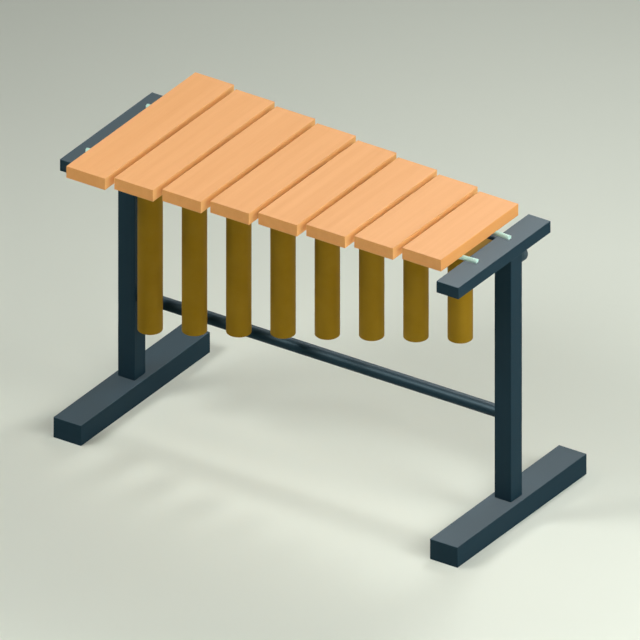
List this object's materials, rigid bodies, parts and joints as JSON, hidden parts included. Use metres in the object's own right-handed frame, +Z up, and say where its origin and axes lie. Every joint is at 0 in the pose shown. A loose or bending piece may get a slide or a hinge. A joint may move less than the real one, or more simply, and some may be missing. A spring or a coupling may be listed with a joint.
{
  "type": "resonator marimba",
  "caption": "Free-standing marimba: graded wooden bars rest on two cords above closed brass resonator pipes, on a painted height-adjustable frame with T feet.",
  "frame": {"origin": "on the floor, in the middle of the footprint", "axes": "+X along the keyboard towards the short bars, +Y away from the player, +Z up"},
  "size_m": [0.73, 0.39, 0.5],
  "materials": {
    "bar_wood": "satin oiled wood",
    "resonator_brass": "aged satin brass",
    "frame_paint": "satin slate paint",
    "cord_braid": "braided cord",
    "knob_plastic": "matt moulded",
    "black_plastic": "matt moulded",
    "spacer_rubber": "matt",
    "zinc_steel": "zinc plated"
  },
  "bodies": {
    "stand": {"left_foot": "frame_paint", "left_post": "frame_paint", "left_post_bolt": "zinc_steel", "left_post_bush": "black_plastic", "left_clamp_boss": "frame_paint", "right_foot": "frame_paint", "right_post": "frame_paint", "right_post_bolt": "zinc_steel", "right_post_bush": "black_plastic", "right_clamp_boss": "frame_paint", "lower_stretcher": "frame_paint"},
    "left_knob": {"left_height_knob": "knob_plastic", "left_knob_stud": "zinc_steel"},
    "right_knob": {"right_height_knob": "knob_plastic", "right_knob_stud": "zinc_steel"},
    "carriage": {"left_end_rail": "frame_paint", "left_stem": "zinc_steel", "left_board_spacer": "spacer_rubber", "left_front_board_screw": "zinc_steel", "left_front_cord_screw": "zinc_steel", "left_rear_board_screw": "zinc_steel", "left_rear_cord_screw": "zinc_steel", "right_end_rail": "frame_paint", "right_stem": "zinc_steel", "right_board_spacer": "spacer_rubber", "right_front_board_screw": "zinc_steel", "right_front_cord_screw": "zinc_steel", "right_rear_board_screw": "zinc_steel", "right_rear_cord_screw": "zinc_steel", "upper_spreader": "frame_paint", "resonator_board": "resonator_brass", "resonator_1": "resonator_brass", "resonator_stop_1": "resonator_brass", "resonator_2": "resonator_brass", "resonator_stop_2": "resonator_brass", "resonator_3": "resonator_brass", "resonator_stop_3": "resonator_brass", "resonator_4": "resonator_brass", "resonator_stop_4": "resonator_brass", "resonator_5": "resonator_brass", "resonator_stop_5": "resonator_brass", "resonator_6": "resonator_brass", "resonator_stop_6": "resonator_brass", "resonator_7": "resonator_brass", "resonator_stop_7": "resonator_brass", "resonator_8": "resonator_brass", "resonator_stop_8": "resonator_brass", "front_cord": "cord_braid", "rear_cord": "cord_braid"},
    "bar_1": {"bar_1": "bar_wood"},
    "bar_2": {"bar_2": "bar_wood"},
    "bar_3": {"bar_3": "bar_wood"},
    "bar_4": {"bar_4": "bar_wood"},
    "bar_5": {"bar_5": "bar_wood"},
    "bar_6": {"bar_6": "bar_wood"},
    "bar_7": {"bar_7": "bar_wood"},
    "bar_8": {"bar_8": "bar_wood"}
  },
  "joints": [
    {"name": "height_slide", "type": "slide", "parent": "stand", "child": "carriage", "axis": [0, 0, 1], "range_m": [0, 0.12]},
    {"name": "left_knob_turn", "type": "hinge", "parent": "stand", "child": "left_knob", "pos_m": [-0.34, 0.0418, 0.4376], "axis": [0, 1, 0], "range_deg": [0, 360]},
    {"name": "right_knob_turn", "type": "hinge", "parent": "stand", "child": "right_knob", "pos_m": [0.34, 0.0418, 0.4376], "axis": [0, 1, 0], "range_deg": [0, 360]},
    {"name": "bar_1_lift", "type": "slide", "parent": "carriage", "child": "bar_1", "axis": [0, 0, 1], "range_m": [0, 0.06]},
    {"name": "bar_2_lift", "type": "slide", "parent": "carriage", "child": "bar_2", "axis": [0, 0, 1], "range_m": [0, 0.06]},
    {"name": "bar_3_lift", "type": "slide", "parent": "carriage", "child": "bar_3", "axis": [0, 0, 1], "range_m": [0, 0.06]},
    {"name": "bar_4_lift", "type": "slide", "parent": "carriage", "child": "bar_4", "axis": [0, 0, 1], "range_m": [0, 0.06]},
    {"name": "bar_5_lift", "type": "slide", "parent": "carriage", "child": "bar_5", "axis": [0, 0, 1], "range_m": [0, 0.06]},
    {"name": "bar_6_lift", "type": "slide", "parent": "carriage", "child": "bar_6", "axis": [0, 0, 1], "range_m": [0, 0.06]},
    {"name": "bar_7_lift", "type": "slide", "parent": "carriage", "child": "bar_7", "axis": [0, 0, 1], "range_m": [0, 0.06]},
    {"name": "bar_8_lift", "type": "slide", "parent": "carriage", "child": "bar_8", "axis": [0, 0, 1], "range_m": [0, 0.06]}
  ]
}
